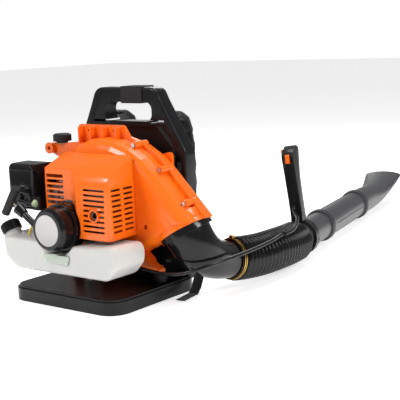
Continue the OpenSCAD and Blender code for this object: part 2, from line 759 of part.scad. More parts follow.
muffler_x0 = fan_x + fin_w / 2 + 28;
module muffler() {
    color("#6d6f72") {
        difference() {
            plate_xz(-126, -58) polygon(rounded(box_pts(muffler_x0, 186, cover_x1 - 14, 280, 10)));
            plate_xz(-124, -60) polygon(rounded(box_pts(muffler_x0 + 2, 188, cover_x1 - 16, 278, 8)));
            bar_x(barrel_y, fan_z + 62, muffler_x0 - 1, muffler_x0 + 3, 10);
            bar_y(82, 212, -127, -120, 7);
        }
        difference() {
            bar_x(barrel_y, fan_z + 62, fan_x + fin_w / 2 + 4, muffler_x0, 13);
            bar_x(barrel_y, fan_z + 62, fan_x + fin_w / 2 + 3, muffler_x0 + 1, 10);
        }
        difference() {
            bar_y(82, 212, -136, -124, 9);
            bar_y(82, 212, -137, -122, 7);
        }
    }
}

// ---- Engine cover ---------------------------------------------------------------------------
function cover_plan(d) = [[cover_x0 + d, cover_y1 + (d > 0 ? 2 : 0), 0],
    [cover_x0 + d, louvre_y + d, 10], [-10 - d * 0.4, louvre_y + d, 6],
    [31 - d * 0.2, cover_y0 + d, 8], [cover_x1 - d, cover_y0 + d, 14],
    [cover_x1 - d - 5, cover_y1 + (d > 0 ? 2 : 0), 0]];
// Side view: the front leans back a little and the top slopes up to the rear
function cover_side(d) = [[cover_y1 + (d > 0 ? 2 : 0), cover_z0 - d], [cover_y0 + d, cover_z0 - d],
    [cover_y0 + 6 + d, cover_top_front - 14 - d], [cover_y0 + 16 + d, cover_top_front - d],
    [cover_y1 + (d > 0 ? 2 : 0), cover_top_rear - d]];
module cover_block(d) {
    intersection() {
        linear_extrude(500) polygon(rounded(cover_plan(d)));
        plate_yz(-300, 300) polygon(cover_side(d));
        plate_xz(-200, 0) polygon(rounded([[cover_x0 + d, cover_low_z - d, 0],
            [fan_x, cover_low_z - d, 0], [fan_x, cover_z0 - d, 0], [cover_x1 - d, cover_z0 - d, 0],
            [cover_x1 - 8 - d, 345 - d, 22], [cover_x0 + 10 + d, 345 - d, 22]]));
    }
}
slot_pitch = slot_h + 6.6;
slot_z0 = cover_z0 + 16;
port = [82, 212];
module engine_cover() {
    color(orange) {
        difference() {
            cover_block(0);
            cover_block(cover_t);
            // Room for the recoil starter
            bar_y(fan_x, fan_z, cover_y0 - 10, case_y0 + 6, starter_d / 2 + 4, 64);
            box([cover_x0 - 1, cover_y0, cover_z0 - 5], [fan_x, cover_y1 + 1, cover_low_z]);
            // Front slots, and the round opening of the exhaust
            for (i = [0:slot_count - 1])
                box([48, cover_y0 - 5, slot_z0 + i * slot_pitch],
                    [cover_x1 - 16, cover_y0 + 14, slot_z0 + i * slot_pitch + slot_h]);
            bar_y(port[0], port[1], cover_y0 - 5, cover_y0 + 14, 12);
            // Side slots in two columns
            for (i = [0:slot_count - 1]) for (y = [-124, -84])
                box([cover_x1 - 20, y, slot_z0 + i * slot_pitch],
                    [cover_x1 + 5, y + 30, slot_z0 + i * slot_pitch + slot_h]);
            // Louvre openings, and the side opening of the carburettor
            for (i = [0:5])
                box([-90, louvre_y - 5, 225 + i * 12.4], [-36, louvre_y + 8, 232.6 + i * 12.4]);
            box([cover_x0 - 5, -104, cover_low_z - 1], [cover_x0 + 14, -56, 278]);
            for (x = cover_screw_x)
                bar_y(x, cover_screw_z, cover_y1 - 15, cover_y1 + 1, 2.5 + screw_gap);
        }
        // Ring round the exhaust opening
        difference() {
            bar_y(port[0], port[1], cover_y0 - 2, cover_y0 + 6, 15);
            bar_y(port[0], port[1], cover_y0 - 3, cover_y0 + 7, 12);
        }
        // Bosses of the two top screws
        for (x = cover_screw_x) difference() {
            bar_y(x, cover_screw_z, cover_y1 - 16, cover_y1, 8);
            bar_y(x, cover_screw_z, cover_y1 - 17, cover_y1 + 1, 2.5 + screw_gap);
        }
    }
}

// ---- Carburettor and air filter -------------------------------------------------------------
intake_z = fan_z + 62;
carb_x1 = fan_x - fin_w / 2 - 4 - 14;
carb_x0 = carb_x1 - 36;
module insulator() {
    color("#3a2f28") difference() {
        box([carb_x1, barrel_y - 18, intake_z - 18], [carb_x1 + 14, barrel_y + 18, intake_z + 18]);
        bar_x(barrel_y, intake_z, carb_x1 - 1, carb_x1 + 15, 9);
    }
}
module carburettor() {
    color("#b4b6b2") difference() {
        union() {
            box([carb_x0, barrel_y - 17, intake_z - 20], [carb_x1, barrel_y + 17, intake_z + 20]);
            box([carb_x0 + 4, barrel_y - 21, intake_z - 26], [carb_x1 - 4, barrel_y + 21, intake_z - 20]);
        }
        bar_x(barrel_y, intake_z, carb_x0 - 1, carb_x1 + 1, 9);
        bar_y(carb_x0 + 18, intake_z + 13, barrel_y - 30, barrel_y + 30, 3 + run_gap);
    }
}
module throttle_arm() {
    x = carb_x0 + 18;
    color("#c8b26a") {
        bar_y(x, intake_z + 13, barrel_y - 22, barrel_y + 20, 3);
        difference() {
            plate_xz(barrel_y - 22, barrel_y - 19) polygon(rounded([[x - 6, intake_z + 8, 5],
                [x + 6, intake_z + 8, 5], [x + 4, intake_z + 33, 4], [x - 4, intake_z + 33, 4]]));
            bar_y(x, intake_z + 28, barrel_y - 24, barrel_y - 18, 1.6);
        }
    }
}
primer = [carb_x0 - 11, filter_y0 - 2, 224];
primer_r = 8;
module primer_bulb() {
    color("#c9d8b4") translate(primer) rotate([90, 0, 0]) rotate_extrude($fn = 40)
        polygon(concat([[0, 0], [primer_r + 1, 0], [primer_r + 1, 2]],
            [for (a = [0:15:90]) primer_r * [cos(a), sin(a)] + [0, 2]]));
}
module filter_base() {
    y = filter_mid[1];
    z = filter_mid[2];
    color(black) difference() {
        union() {
            plate_yz(filter_x1, filter_x1 + 6) polygon(rounded(
                box_pts(filter_y0, filter_z0, filter_y1, filter_z1, 12)));
            bar_x(barrel_y, intake_z, filter_x1, carb_x0, 14);
            bar_x(y, z + 18, filter_x0 + 6, filter_x1, 3);
            box([filter_x1, filter_y0 - 2, 208], [carb_x0 + 3, filter_y0 + 4, 240]);
        }
        bar_y(primer[0], primer[2], filter_y0 - 3, filter_y0 + 5, primer_r + 1 + move_gap);
        bar_x(barrel_y, intake_z, filter_x1 - 1, carb_x0 + 1, 9);
    }
}
module filter_element() {
    color("#c8b88c") difference() {
        plate_yz(filter_x1 - 34, filter_x1 - 1) polygon(rounded(
            box_pts(filter_y0 + 8, filter_z0 + 8, filter_y1 - 8, filter_z1 - 8, 8)));
        plate_yz(filter_x1 - 28, filter_x1) polygon(rounded(
            box_pts(filter_y0 + 22, filter_z0 + 22, filter_y1 - 22, filter_z1 - 22, 6)));
        bar_x(filter_mid[1], filter_mid[2] + 18, filter_x0, filter_x1 + 1, 4);
    }
}
module filter_cover() {
    color(black) difference() {
        union() {
            plate_yz(filter_x0, filter_x1 - 0.5) polygon(rounded(
                box_pts(filter_y0, filter_z0, filter_y1, filter_z1, 14)));
            for (z = [224, 240, 256]) box([filter_x0 + 8, filter_y0 - 2, z],
                [filter_x1 - 10, filter_y0 + 1, z + 5]);
        }
        plate_yz(filter_x0 + 3, filter_x1) polygon(rounded(box_pts(filter_y0 + 3,
            filter_z0 + 3, filter_y1 - 3, filter_z1 - 3, 11)));
        bar_x(filter_mid[1], filter_mid[2] + 18, filter_x0 - 1, filter_x0 + 5, 4);
    }
}
module filter_knob() {
    color(black) translate([filter_x0 - 0.5, filter_mid[1], filter_mid[2] + 18])
        rotate([0, -90, 0]) difference() {
            union() {
                cylinder(h = 5, r = 12);
                for (a = [0, 60, 120]) rotate([0, 0, a]) translate([-13, -3, 4]) cube([26, 6, 7]);
                cylinder(h = 12, r = 8);
            }
            translate([0, 0, -1]) cylinder(h = 4, r = 3.5);
        }
}
choke_at = [filter_x1 + 10, filter_y0 + 18, filter_z1 - 26];
module choke_lever() {
    color(black) difference() {
        union() {
            bar_x(choke_at[1], choke_at[2], filter_x1 + 6 + 0.5, filter_x1 + 12, 8);
            plate_yz(filter_x1 + 7, filter_x1 + 11) polygon(rounded([
                [choke_at[1] - 5, choke_at[2], 2], [choke_at[1] + 5, choke_at[2], 2],
                [choke_at[1] - 22, choke_at[2] + 30, 4], [choke_at[1] - 30, choke_at[2] + 24, 4]]));
        }
        bar_x(choke_at[1], choke_at[2], filter_x1 + 6, filter_x1 + 9, 2.5);
    }
}

// ---- Recoil starter -------------------------------------------------------------------------
module starter_housing() {
    r = starter_d / 2;
    guide = [-99, -160, 189];
    color(black) {
        difference() {
            union() {
                translate([fan_x, starter_y0 + 10, fan_z]) rotate([90, 0, 0])
                    cylinder(h = 10, r1 = r - 5, r2 = r - 11, $fn = 64);
                bar_y(fan_x, fan_z, starter_y0 + 10, starter_y0 + 38, r - 5, 64);
                bar_y(fan_x, fan_z, starter_y0 + 38, starter_y1, r, 64);
                // Rope guide arm, reaching to the grip
                translate([guide[0] + 38, guide[1], guide[2] - 25.3]) rotate([0, -56.3, 0])
                    cylinder(h = 93, r = 8);
                translate([guide[0] - 22, guide[1], guide[2] + 14.7]) rotate([0, -56.3, 0])
                    cylinder(h = 22, r1 = 11, r2 = 14);
            }
            translate([fan_x, starter_y0 + 10, fan_z]) rotate([90, 0, 0])
                cylinder(h = 7, r1 = r - 8, r2 = r - 14, $fn = 64);
            bar_y(fan_x, fan_z, starter_y0 + 9.9, starter_y0 + 41, r - 8, 64);
            bar_y(fan_x, fan_z, starter_y0 + 41, starter_y1 + 1, r - 3, 64);
            translate([guide[0] + 44, guide[1], guide[2] - 29.3]) rotate([0, -56.3, 0])
                cylinder(h = 120, r = 2.6);
            // Vent windows round the step
            for (a = [15:30:345]) translate([fan_x, 0, fan_z]) rotate([0, a, 0])
                box([r - 12, starter_y0 + 43, -7], [r + 5, starter_y0 + 50, 7]);
        }
        // Post that the reel turns on
        bar_y(fan_x, fan_z, starter_y0 + 2, reel_y + reel_w + 1, 6 - run_gap);
    }
}
module starter_reel() {
    color("#3a3a3d") translate([fan_x, reel_y, fan_z]) rotate([-90, 0, 0]) rotate_extrude($fn = 64)
        polygon([[6 + 0.01, 0], [41, 0], [41, 3], [rope_r - 2, 3.5], [rope_r - 2, reel_w - 3.5],
            [41, reel_w - 3], [41, reel_w], [6 + 0.01, reel_w]]);
}
grip_at = [-164, -160, 232.4];
module starter_rope() {
    d = unit(pull_dir);
    color("#d8d4c8") skin([for (s = [60, 6])
        ring(grip_at - s * d, d, [0, 1, 0], 2, 2, 12)]);
}
module starter_grip() {
    color(black) translate(grip_at) rotate([0, 33.7, 0]) difference() {
        union() {
            translate([0, 0, -38]) cylinder(h = 76, r = 10);
            rotate([0, 90, 0]) translate([0, 0, -2]) cylinder(h = 14, r = 9);
        }
        rotate([0, 90, 0]) translate([0, 0, 4]) cylinder(h = 14, r = 2.6);
    }
}

// ---- Fuel tank ------------------------------------------------------------------------------
function tank_outline(d) = concat(
    rounded([[neck_x - 20 + d, tank_z1 - d, 8 - d / 2], [tank_x0 + d, tank_z1 - 28, 14],
        [tank_x0 + d, tank_z0 + 30, 20], [tank_x0 + 40, tank_z0 + d, 26],
        [tank_x1 - 30, tank_z0 + d, 30], [tank_x1 - d, tank_z0 + 34, 24],
        [tank_x1 - d, tank_z1 - d, 18]]),
    [for (a = [20:-14:-204]) let (r = starter_d / 2 + 6 + d)
        if (fan_z + r * sin(a) < tank_z1 - d) [fan_x + r * cos(a), fan_z + r * sin(a)]]);
// Puts a part on the neck, which leans outwards
module at_neck() {
    translate([neck_x, neck_y, neck_z]) rotate([0, -neck_lean, 0]) children();
}
module fuel_tank() {
    color(tank_white) difference() {
        union() {
            plate_xz(tank_y0 + 5, tank_y1 - 5) polygon(tank_outline(0));
            plate_xz(tank_y0, tank_y1) polygon(tank_outline(4));
            at_neck() translate([0, 0, -8]) cylinder(h = neck_len + 8, r = cap_d / 2 - 4);
        }
        plate_xz(tank_y0 + 4, tank_y1 - 4) polygon(tank_outline(7));
        at_neck() translate([0, 0, -18]) cylinder(h = 70, r = cap_d / 2 - 7);
    }
}
module fuel_cap() {
    h = 22;
    color(black) at_neck() translate([0, 0, cap_lift]) difference() {
        union() {
            cylinder(h = h, r = cap_d / 2 - 1);
            translate([0, 0, h]) cylinder(h = 3, r1 = cap_d / 2 - 1, r2 = cap_d / 2 - 5);
            for (a = [0:20:340]) rotate([0, 0, a]) translate([cap_d / 2 - 2, -1.6, 2]) cube([2.4, 3.2, h - 4]);
        }
        translate([0, 0, -1]) cylinder(h = neck_len - cap_lift + 1.6, r = cap_d / 2 - 4 + move_gap);
    }
}
module fuel_line() {
    pts = [[-124, -146, 150.5], [-122, -142, 166], [-112, -132, 182], [-100, -116, 195],
        [-92, -100, 203], [-90, -92, 209.5]];
    color("#d7c23c") skin([for (i = [0:5])
        ring(pts[i], unit(pts[min(i + 1, 5)] - pts[max(i - 1, 0)]), [1, 0, 0], 3, 3, 12)]);
}
module tank_bracket() {
    color("#cfd6c8") {
        plate_xz(tank_y0 - 4, tank_y0 - 1) polygon(rounded([[-58, 119, 3], [-44, 100, 4],
            [20, 98, 3], [26, 119, 3]]));
        box([-28, tank_y0 - 4, 118.6], [-12, tank_y1 + 4, 121.2]);
        box([-28, tank_y1 + 1.4, base_h], [-12, tank_y1 + 4, 121.2]);
    }
}

// ---- Elbow, hose and clamps -----------------------------------------------------------------
elbow_path = [mouth, mouth + 60 * outlet_dir, elbow_end - 62 * elbow_dir, elbow_end];
// Places along the path: two for the flange on the volute's outlet, then even steps
elbow_steps = concat([0, 0.05], [0.051, for (i = [1:12]) 0.051 + 0.949 * i / 12]);
elbow_back = [for (i = [12:-1:0]) i / 12];
function elbow_ring(s, r) = ring(bezier(elbow_path, s), bezier_dir(elbow_path, s),
    mouth_side, r, r, 32);
module elbow() {
    color(black) {
        skin(concat(
            [for (s = elbow_steps)
                elbow_ring(s, s > 0.05 ? mix(mouth_r - 3, spigot_r + 2, s) : mouth_r + 4)],
            [for (s = elbow_back) elbow_ring(s, mix(duct_r, spigot_r - 3.6, s))]), true);
        on_dir(elbow_end, elbow_dir) difference() {
            translate([0, 0, -4]) cylinder(h = 34, r = spigot_r, $fn = 64);
            translate([0, 0, -5]) cylinder(h = 36, r = spigot_r - 3, $fn = 64);
        }
    }
}
// Turns +Z to direction d at point p
module on_dir(p, d) {
    translate(p) rotate([0, acos(d[2]), atan2(d[1], d[0])]) children();
}

// Bellows between two plain cuffs, along a curve
rib_pitch = 14;
function bellows_rings(path, len_mm, inner) =
    let (n = round(len_mm / rib_pitch) * 2)
    [for (i = [0:n]) let (s = i / n, plain = s * len_mm < 16 || (1 - s) * len_mm < 16,
        r = inner ? hose_in_r : plain ? hose_in_r + 3.5 : i % 2 == 0 ? hose_valley_r : hose_r)
        ring(bezier(path, s), bezier_dir(path, s), [0, 0, 1], r, r, 28)];
module bellows(path, len_mm) {
    inner = bellows_rings(path, len_mm, true);
    n = len(inner);
    color("#18181a") skin(concat(bellows_rings(path, len_mm, false),
        [for (i = [n - 1:-1:0]) inner[i]]), true);
}
near_start = elbow_end + 2 * elbow_dir;
hose_near_path = [near_start, near_start + 50 * elbow_dir, ring_mid - [0, 55, 0],
    ring_mid - [0, ring_len / 2, 0]];
hose_far_path = [ring_mid + [0, ring_len / 2, 0], ring_mid + [0, 55, 0],
    hose_end - 50 * tube_dir, hose_end];
module hose_near() {
    bellows(hose_near_path, 145);
}
module hose_far() {
    bellows(hose_far_path, 160);
}
module hose_joint_ring() {
    color("#202022") translate(ring_mid) difference() {
        union() {
            tube_y(-ring_len / 2, ring_len / 2, hose_valley_r + 3, hose_in_r);
            tube_y(-2, 2, hose_r, hose_in_r);
            // Clip that holds the throttle cable
            rotate([0, -46, 0]) box([hose_valley_r + 1, -5, -3], [60, 5, 3]);
            bar_y(45, 47, -5, 5, cable_r + 3);
        }
        bar_y(45, 47, -6, 6, cable_r + 0.3);
    }
}
module wire_ring(p, d) {
    on_dir(p, d) difference() {
        translate([0, 0, -1.3]) cylinder(h = 2.6, r = hose_in_r + 6.4, $fn = 64);
        translate([0, 0, -2]) cylinder(h = 4, r = hose_in_r + 3.7, $fn = 64);
    }
}
module hose_clamps() {
    color("#b08a2e") {
        for (s = [5, 11]) wire_ring(near_start + s * elbow_dir, elbow_dir);
        on_dir(near_start + 8 * elbow_dir, elbow_dir)
            translate([-hose_in_r - 13, -5, -6]) cube([8, 10, 12]);
    }
}
// ---- Throttle cable -------------------------------------------------------------------------
// Smooth curve through the route's points, k steps between each two
function through(p, k) = let (n = len(p) - 1) [for (i = [0:n - 1]) for (j = [0:k - 1])
    let (s = j / k, a = p[max(i - 1, 0)], b = p[i], c = p[i + 1], d = p[min(i + 2, n)])
    0.5 * (2 * b + (c - a) * s + (2 * a - 5 * b + 4 * c - d) * s * s
        + (3 * b - a - 3 * c + d) * s * s * s), p[n]];
module cable(route) {
    p = through(route, 2);
    n = len(p) - 1;
    color("#141416") skin([for (i = [0:n]) ring(p[i], unit(p[min(i + 1, n)] - p[max(i - 1, 0)]),
        [1, 0, 1], cable_r, cable_r, 10)]);
}
module throttle_cable_near() {
    cable(cable_near_route);
}
module throttle_cable_far() {
    cable(cable_far_route);
}

// ---- Blower tube ----------------------------------------------------------------------------
module swivel_tube() {
    color(tube_grey) on_tube() {
        tube_y(-60, swivel_len + 26, tube_r, tube_r - tube_t);
        tube_y(-32, -28, tube_r + 3, tube_r - 1);
        tube_y(swivel_len - 14, swivel_len - 4, tube_r + 5, tube_r - 1);
    }
}
module straight_tube() {
    r = tube_r + tube_t + move_gap;
    color(tube_grey) on_tube() difference() {
        union() {
            tube_y(straight_y - 3, straight_y + 34, r, tube_r + move_gap);
            tube_y(straight_y + 28, straight_y + 34, r, tube_r - tube_t);
            tube_y(straight_y + 30, nozzle_y + 26, tube_r, tube_r - tube_t);
            tube_y(straight_y - 3, straight_y + 8, r + 4, r - 0.5);
            tube_y(nozzle_y - 14, nozzle_y - 4, tube_r + 5, tube_r - 1);
            for (a = [0:60:300]) rotate([0, a, 0]) translate([tube_r - 1, straight_y + 36, -1.2])
                cube([2.6, straight_len - 60, 2.4]);
        }
    }
}
// Nozzle: round socket, then a bend up and a flare to a flat wide mouth
nozzle_path = [[0, nozzle_y + 34, 0], [0, nozzle_y + 190, 0], [-2, tip_y - 190, -18], [-14, tip_y, 34]];
function nozzle_rx(s) = mix(tube_r, 62, pow(s, 2.2));
function nozzle_rz(s) = mix(tube_r + 2, 15, pow(s, 1.8));
// Sections at the parameters in list s, drawn in by d
function nozzle_rings(s, d) = [for (k = s) ring(bezier(nozzle_path, k),
    bezier_dir(nozzle_path, k), [1, 0, 0], nozzle_rx(k) - d, nozzle_rz(k) - d, 36)];
module nozzle() {
    r = tube_r + tube_t + move_gap;
    color("#3f4043") on_tube() {
        skin(concat(nozzle_rings([0:1 / 16:1], 0), nozzle_rings([1:-1 / 16:0], 2.4)), true);
        tube_y(nozzle_y - 3, nozzle_y + 34, r, tube_r + move_gap);
        tube_y(nozzle_y + 30, nozzle_y + 36, r, tube_r - 2);
        tube_y(nozzle_y - 3, nozzle_y + 8, r + 4, r - 0.5);
    }
}

// ---- Control handle -------------------------------------------------------------------------
module on_handle() {
    on_tube() translate([0, handle_ring_w / 2, 0]) rotate([0, handle_lean, 0]) children();
}
head_base = handle_h - 78;
stick_y = 15;
module control_handle() {
    color(black) {
        on_tube() difference() {
            union() {
                tube_y(0, handle_ring_w, tube_r + 9, tube_r + 0.4);
                box([-11, 1, -57], [11, handle_ring_w - 1, -tube_r - 3]);
            }
            tube_y(-1, handle_ring_w + 1, tube_r + 0.4, 0.1);
            box([-2, -1, -70], [2, handle_ring_w + 1, -tube_r + 8]);
            bar_x(handle_ring_w / 2, -50, -20, 20, 2.6);
        }
        on_handle() difference() {
            intersection() {
                plate_yz(-17, 17) polygon(rounded([[-stick_y - 3, tube_r + 5, 0],
                    [stick_y + 3, tube_r + 5, 0], [stick_y, 70, 30], [stick_y - 1, head_base - 4, 20],
                    [stick_y + 12, head_base + 54, 8], [stick_y + 16, handle_h - 8, 8],
                    [stick_y - 4, handle_h, 8], [-stick_y - 12, handle_h - 22, 14],
                    [-stick_y - 6, head_base, 30], [-stick_y, 70, 30]]));
                linear_extrude(400) polygon(rounded(box_pts(-16, -40, 16, 40, 10)));
            }
            // Pocket of the throttle trigger
            box([-8, stick_y - 22, head_base - 2], [8, stick_y + 30, head_base + 50]);
            // Pocket of the stop switch
            translate([0, -stick_y - 7, handle_h - 34]) rotate([-12, 0, 0])
                box([-6.6, -12, -12.6], [6.6, 8, 12.6]);
        }
    }
}
trigger_pivot_z = head_base + 46;
module throttle_trigger() {
    color(orange) on_handle() plate_yz(-7, 7) polygon(rounded([
        [stick_y - 2, trigger_pivot_z - 3, 2], [stick_y + 9, trigger_pivot_z - 4, 3],
        [stick_y + 17, trigger_pivot_z - 14, 5], [stick_y + 15, head_base + 8, 5],
        [stick_y + 9, head_base + 2, 3], [stick_y - 2, head_base + 10, 3]]));
}
module stop_switch() {
    color(orange) on_handle() translate([0, -stick_y - 7, handle_h - 34]) rotate([-12, 0, 0])
        plate_yz(-6, 6) polygon(rounded(box_pts(-5, -12, 4, 12, 3)));
}
module cruise_lever() {
    color(orange) on_handle() difference() {
        union() {
            bar_x(-2, handle_h - 30, -21, -17.5, 8);
            plate_yz(-21, -18) polygon(rounded([[-7, handle_h - 30, 3], [3, handle_h - 30, 3],
                [1, handle_h - 8, 4], [-9, handle_h - 8, 4]]));
        }
        bar_x(-2, handle_h - 30, -19, -17, 2.5);
    }
}

back_frame();
grip_sleeve();
back_cushion();
shoulder_strap_left();
shoulder_strap_right();
strap_webbing();
strap_adjusters();
isolators();
isolator_bolts();
volute_front();
volute_rear();
housing_screws();
intake_grille();
bump_stop();
impeller();
impeller_nut();
crankcase();
main_bearings();
crankshaft();
flywheel();
starter_cup();
engine_cylinder();
piston();
gudgeon_pin();
spark_plug();
plug_cap();
ignition_coil();
muffler();
engine_cover();
insulator();
carburettor();
throttle_arm();
primer_bulb();
filter_base();
filter_element();
filter_cover();
filter_knob();
choke_lever();
starter_housing();
starter_reel();
starter_rope();
starter_grip();
fuel_tank();
fuel_cap();
fuel_line();
tank_bracket();
elbow();
hose_near();
hose_joint_ring();
hose_far();
hose_clamps();
throttle_cable_near();
throttle_cable_far();
swivel_tube();
control_handle();
stop_switch();
cruise_lever();
throttle_trigger();
straight_tube();
nozzle();
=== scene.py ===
from math import cos, pi, radians, sin

import bpy
from mathutils import Matrix, Vector


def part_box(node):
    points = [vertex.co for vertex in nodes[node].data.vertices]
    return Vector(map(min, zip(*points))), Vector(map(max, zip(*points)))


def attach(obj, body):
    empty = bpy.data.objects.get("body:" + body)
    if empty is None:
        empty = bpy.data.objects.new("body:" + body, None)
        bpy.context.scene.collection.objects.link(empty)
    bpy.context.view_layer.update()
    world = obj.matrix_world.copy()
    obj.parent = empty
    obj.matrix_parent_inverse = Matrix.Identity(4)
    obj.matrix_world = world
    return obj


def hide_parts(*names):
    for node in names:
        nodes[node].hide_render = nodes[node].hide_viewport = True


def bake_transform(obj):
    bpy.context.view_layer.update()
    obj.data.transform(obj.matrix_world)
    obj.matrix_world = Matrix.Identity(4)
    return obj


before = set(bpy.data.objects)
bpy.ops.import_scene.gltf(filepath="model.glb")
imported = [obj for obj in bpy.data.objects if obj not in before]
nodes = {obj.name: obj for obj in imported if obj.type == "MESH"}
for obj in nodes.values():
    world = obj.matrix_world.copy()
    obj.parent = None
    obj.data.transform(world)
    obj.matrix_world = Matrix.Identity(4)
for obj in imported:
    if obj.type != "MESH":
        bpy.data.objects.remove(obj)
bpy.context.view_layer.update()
bpy.ops.object.select_all(action="DESELECT")

# ---- Camera, floor and light ----------------------------------------------------------------
# A standing view from the engine side, a little to the tube's side. The blower stands on the
# white floor of a small studio, under large soft lamps. The sky looks white to the camera and
# lights the blower more weakly.
heading, downward, roll = 37.68, 9.58, -2.21
camera_data = bpy.data.cameras.new("camera")
camera_data.lens = 87.8
camera_data.clip_end = 60
camera = bpy.data.objects.new("camera", camera_data)
bpy.context.scene.collection.objects.link(camera)
camera.matrix_world = (Matrix.Translation((1.5705, -1.679, 0.5985))
    @ Matrix.Rotation(radians(heading), 4, "Z")
    @ Matrix.Rotation(radians(90 - downward), 4, "X")
    @ Matrix.Rotation(radians(roll), 4, "Z"))
bpy.context.scene.camera = camera
bpy.context.scene.view_settings.view_transform = "Standard"

bpy.ops.mesh.primitive_plane_add(size=30, location=(0, 1.5, -0.0008))
floor = bpy.context.active_object
floor.name = "floor"
floor_material = bpy.data.materials.new("studio_floor")
floor_material.use_nodes = True
floor_shader = floor_material.node_tree.nodes["Principled BSDF"]
floor_shader.inputs["Base Color"].default_value = (0.90, 0.90, 0.90, 1)
floor_shader.inputs["Roughness"].default_value = 0.6
floor_shader.inputs["Emission Color"].default_value = (1, 1, 1, 1)
floor_shader.inputs["Emission Strength"].default_value = 0.6
floor.data.materials.append(floor_material)

world = bpy.data.worlds.new("studio")
world.use_nodes = True
sky = world.node_tree.nodes["Background"]
sky.inputs["Color"].default_value = (1, 1, 1, 1)
sight = world.node_tree.nodes.new("ShaderNodeLightPath")
level = world.node_tree.nodes.new("ShaderNodeMapRange")
level.inputs["To Min"].default_value = 0.27
level.inputs["To Max"].default_value = 1.0
world.node_tree.links.new(sight.outputs["Is Camera Ray"], level.inputs["Value"])
world.node_tree.links.new(level.outputs["Result"], sky.inputs["Strength"])
bpy.context.scene.world = world


def soft_lamp(name, place, target, size, power):
    """A square studio lamp at place that faces target."""
    lamp = bpy.data.lights.new(name, "AREA")
    lamp.energy = power
    lamp.size = size
    stand = bpy.data.objects.new(name, lamp)
    bpy.context.scene.collection.objects.link(stand)
    stand.location = place
    stand.rotation_euler = (Vector(target) - Vector(place)).to_track_quat("-Z", "Y").to_euler()


soft_lamp("key_lamp", (-1.1, -2.2, 2.3), (0, 0, 0.2), 0.9, 52)
soft_lamp("side_lamp", (2.6, 0.2, 1.9), (0.1, 0.3, 0.15), 0.9, 38)
soft_lamp("top_lamp", (0.2, 0.9, 3.0), (0.1, 0.5, 0), 1.5, 52)
soft_lamp("back_lamp", (-1.6, 2.6, 1.8), (0, 0.2, 0.2), 1.2, 24)

# ---- Throttle cable -------------------------------------------------------------------------
# A steel inner wire in a black ribbed plastic conduit, 9 mm thick. It leaves the carburettor
# side of the fan housing, is clipped to the middle of the hose and ends in the handle.
MM = 0.001
cable_near_route = [(-30, -54, 112), (10, -54, 104), (50, -52, 94), (84, -44, 84),
    (118, -38, 77), (152, -34, 72), (190, -32, 70), (228, -30, 74), (262, -22, 82),
    (288, 0, 92), (303, 34, 98), (310, 80, 101), (312, 130, 103), (311, 180, 105),
    (309, 230, 108), (306, 262, 111), (304, 278, 112), (304, 289.6, 112)]
cable_far_route = [(304, 290.4, 112), (304, 308, 112), (300, 340, 114), (288, 372, 118),
    (272, 404, 121), (254, 434, 124), (236, 456, 128), (222, 470, 135), (217, 479, 145)]


def smooth_line(points, parts):
    """A smooth curve through points given in mm, with this many steps between each two."""
    spots = [Vector(p) * MM for p in points]
    line = []
    for i in range(len(spots) - 1):
        a, b = spots[max(i - 1, 0)], spots[i]
        c, d = spots[i + 1], spots[min(i + 2, len(spots) - 1)]
        for j in range(parts):
            s = j / parts
            line.append(0.5 * (2 * b + (c - a) * s + (2 * a - 5 * b + 4 * c - d) * s ** 2
                + (3 * b - a - 3 * c + d) * s ** 3))
    return line + [spots[-1]]


def pipe(name, rings, material, closed=False):
    """A round skin through rings of (centre, direction, radius): a closed loop of rings is a
    wall, and an open row gets a flat cap at each end."""
    sides = 48 if rings[0][2] > 0.02 else 16
    verts, faces = [], []
    for centre, along, radius in rings:
        turn = Vector((0, 0, 1)).rotation_difference(along.normalized())
        side = turn @ Vector((1, 0, 0))
        if abs(along.normalized().z) < 0.9:
            side = Vector((0, 0, 1)).cross(along).normalized()
        up = along.normalized().cross(side)
        verts += [centre + radius * (side * cos(2 * pi * k / sides)
            + up * sin(2 * pi * k / sides)) for k in range(sides)]
    last = len(rings) if closed else len(rings) - 1
    for i in range(last):
        n = (i + 1) % len(rings)
        faces += [(i * sides + k, i * sides + (k + 1) % sides, n * sides + (k + 1) % sides,
            n * sides + k) for k in range(sides)]
    if not closed:
        faces += [tuple(reversed(range(sides))),
            tuple(range((len(rings) - 1) * sides, len(rings) * sides))]
    mesh = bpy.data.meshes.new(name)
    mesh.from_pydata(verts, [], faces)
    mesh.materials.append(material)
    made = bpy.data.objects.new(name, mesh)
    bpy.context.scene.collection.objects.link(made)
    bpy.ops.object.select_all(action="DESELECT")
    made.select_set(True)
    bpy.context.view_layer.objects.active = made
    bpy.ops.object.mode_set(mode="EDIT")
    bpy.ops.mesh.select_all(action="SELECT")
    bpy.ops.mesh.normals_make_consistent(inside=False)
    bpy.ops.object.mode_set(mode="OBJECT")
    bpy.ops.object.shade_smooth_by_angle(angle=radians(50))
    made.select_set(False)
    return made


